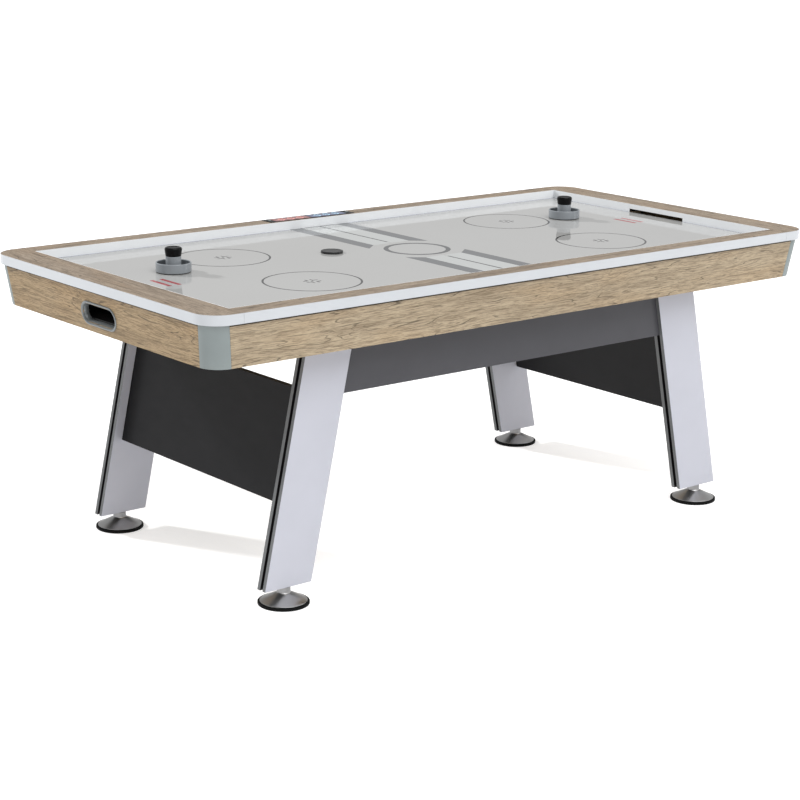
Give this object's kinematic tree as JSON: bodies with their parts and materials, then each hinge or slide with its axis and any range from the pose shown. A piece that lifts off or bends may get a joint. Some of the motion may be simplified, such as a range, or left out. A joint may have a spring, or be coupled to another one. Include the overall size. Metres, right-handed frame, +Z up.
{
  "type": "air hockey table",
  "caption": "Full-size air hockey table with oak-look cabinet and rails, glossy playfield, splayed panel legs, levelling feet, rail scorer, blower, pushers and puck.",
  "frame": {"origin": "on the floor under the middle of the table", "axes": "+X along the table, +Y towards the rail with the scorer, +Z up"},
  "size_m": [2.1336, 1.0668, 0.854],
  "materials": {
    "playfield_laminate": "glossy printed laminate",
    "light_oak_laminate": "matt light oak grain",
    "oak_laminate_top": "matt grey oak grain",
    "white_edging": "satin white",
    "grey_plastic": "satin mid grey",
    "pale_board": "matt pale lavender grey",
    "black_plastic": "matt black",
    "charcoal_board": "matt charcoal",
    "raw_board": "bare board",
    "steel": "zinc plated",
    "satin_nickel": "satin spun",
    "black_rubber": "matt black",
    "black_felt": "felt",
    "red_window": "clear red",
    "blue_window": "clear blue",
    "circuit_board": "green solder mask"
  },
  "bodies": {
    "table": {"playfield": "playfield_laminate", "bottom_board": "raw_board", "cabinet_battens": "raw_board", "apron_near": "light_oak_laminate", "apron_far": "light_oak_laminate", "apron_left": "light_oak_laminate", "apron_right": "light_oak_laminate", "corner_covers": "grey_plastic", "end_rail_left": "oak_laminate_top", "end_rail_right": "oak_laminate_top", "side_rail_near": "oak_laminate_top", "side_rail_far": "oak_laminate_top", "edge_bands": "white_edging", "side_liners": "white_edging", "goal_liners": "white_edging", "return_boxes": "black_plastic", "return_bezels": "grey_plastic", "goal_sensors": "black_plastic", "leg_boards_near_left": "pale_board", "leg_boards_near_right": "pale_board", "leg_boards_far_left": "pale_board", "leg_boards_far_right": "pale_board", "leg_cores": "black_plastic", "stretcher_near": "charcoal_board", "stretcher_far": "charcoal_board", "end_panel_left": "charcoal_board", "end_panel_right": "charcoal_board", "leg_brackets": "steel", "leg_screws": "steel", "leg_inserts": "steel", "scorer_housing": "black_plastic", "scorer_window_red": "red_window", "scorer_window_blue": "blue_window", "scorer_board": "circuit_board", "blower_housing": "black_plastic", "blower_motor": "steel", "power_inlet": "black_plastic"},
    "foot_near_left": {"foot_cone_near_left": "satin_nickel", "foot_pad_near_left": "black_rubber"},
    "stem_near_left": {"leveler_stem_near_left": "steel"},
    "foot_near_right": {"foot_cone_near_right": "satin_nickel", "foot_pad_near_right": "black_rubber"},
    "stem_near_right": {"leveler_stem_near_right": "steel"},
    "foot_far_left": {"foot_cone_far_left": "satin_nickel", "foot_pad_far_left": "black_rubber"},
    "stem_far_left": {"leveler_stem_far_left": "steel"},
    "foot_far_right": {"foot_cone_far_right": "satin_nickel", "foot_pad_far_right": "black_rubber"},
    "stem_far_right": {"leveler_stem_far_right": "steel"},
    "pusher_left": {"pusher_base_left": "grey_plastic", "pusher_cap_left": "black_plastic", "pusher_felt_left": "black_felt"},
    "pusher_right": {"pusher_base_right": "grey_plastic", "pusher_cap_right": "black_plastic", "pusher_felt_right": "black_felt"},
    "puck": {"puck": "black_plastic"},
    "button_left": {"scorer_button_left": "black_plastic"},
    "button_right": {"scorer_button_right": "black_plastic"},
    "impeller": {"blower_impeller": "black_plastic"},
    "switch": {"power_switch": "black_plastic"}
  },
  "joints": [
    {"name": "foot_slide_near_left", "type": "slide", "parent": "table", "child": "foot_near_left", "axis": [0, 0, -1], "range_m": [0, 0.015]},
    {"name": "stem_turn_near_left", "type": "hinge", "parent": "foot_near_left", "child": "stem_near_left", "pos_m": [-0.76, -0.4015, 0.1], "axis": [0, 0, -1], "range_deg": [0, 3600]},
    {"name": "foot_slide_near_right", "type": "slide", "parent": "table", "child": "foot_near_right", "axis": [0, 0, -1], "range_m": [0, 0.015]},
    {"name": "stem_turn_near_right", "type": "hinge", "parent": "foot_near_right", "child": "stem_near_right", "pos_m": [0.76, -0.4015, 0.1], "axis": [0, 0, -1], "range_deg": [0, 3600]},
    {"name": "foot_slide_far_left", "type": "slide", "parent": "table", "child": "foot_far_left", "axis": [0, 0, -1], "range_m": [0, 0.015]},
    {"name": "stem_turn_far_left", "type": "hinge", "parent": "foot_far_left", "child": "stem_far_left", "pos_m": [-0.76, 0.4015, 0.1], "axis": [0, 0, -1], "range_deg": [0, 3600]},
    {"name": "foot_slide_far_right", "type": "slide", "parent": "table", "child": "foot_far_right", "axis": [0, 0, -1], "range_m": [0, 0.015]},
    {"name": "stem_turn_far_right", "type": "hinge", "parent": "foot_far_right", "child": "stem_far_right", "pos_m": [0.76, 0.4015, 0.1], "axis": [0, 0, -1], "range_deg": [0, 3600]},
    {"name": "pusher_slide_left", "type": "slide", "parent": "table", "child": "pusher_left", "axis": [1, 0, 0], "range_m": [-0.157, 0.31]},
    {"name": "pusher_slide_right", "type": "slide", "parent": "table", "child": "pusher_right", "axis": [1, 0, 0], "range_m": [-0.35, 0.19]},
    {"name": "puck_slide", "type": "slide", "parent": "table", "child": "puck", "axis": [1, 0, 0], "range_m": [-0.1, 0.5]},
    {"name": "button_press_left", "type": "slide", "parent": "table", "child": "button_left", "axis": [0, 0, -1], "range_m": [0, 0.0015], "stiffness_N_per_m": 400, "springref_m": -0.0005},
    {"name": "button_press_right", "type": "slide", "parent": "table", "child": "button_right", "axis": [0, 0, -1], "range_m": [0, 0.0015], "stiffness_N_per_m": 400, "springref_m": -0.0005},
    {"name": "impeller_spin", "type": "hinge", "parent": "table", "child": "impeller", "pos_m": [0, 0, 0.65], "axis": [0, 0, 1], "continuous": true},
    {"name": "switch_rock", "type": "hinge", "parent": "table", "child": "switch", "pos_m": [0.74, 0.50896, 0.72377], "axis": [1, 0, 0], "range_deg": [0, 8]}
  ],
  "couplings": [
    {"joint": "stem_turn_near_left", "follows": "foot_slide_near_left", "rad_per_m": 4188.8},
    {"joint": "stem_turn_near_right", "follows": "foot_slide_near_right", "rad_per_m": 4188.8},
    {"joint": "stem_turn_far_left", "follows": "foot_slide_far_left", "rad_per_m": 4188.8},
    {"joint": "stem_turn_far_right", "follows": "foot_slide_far_right", "rad_per_m": 4188.8}
  ]
}
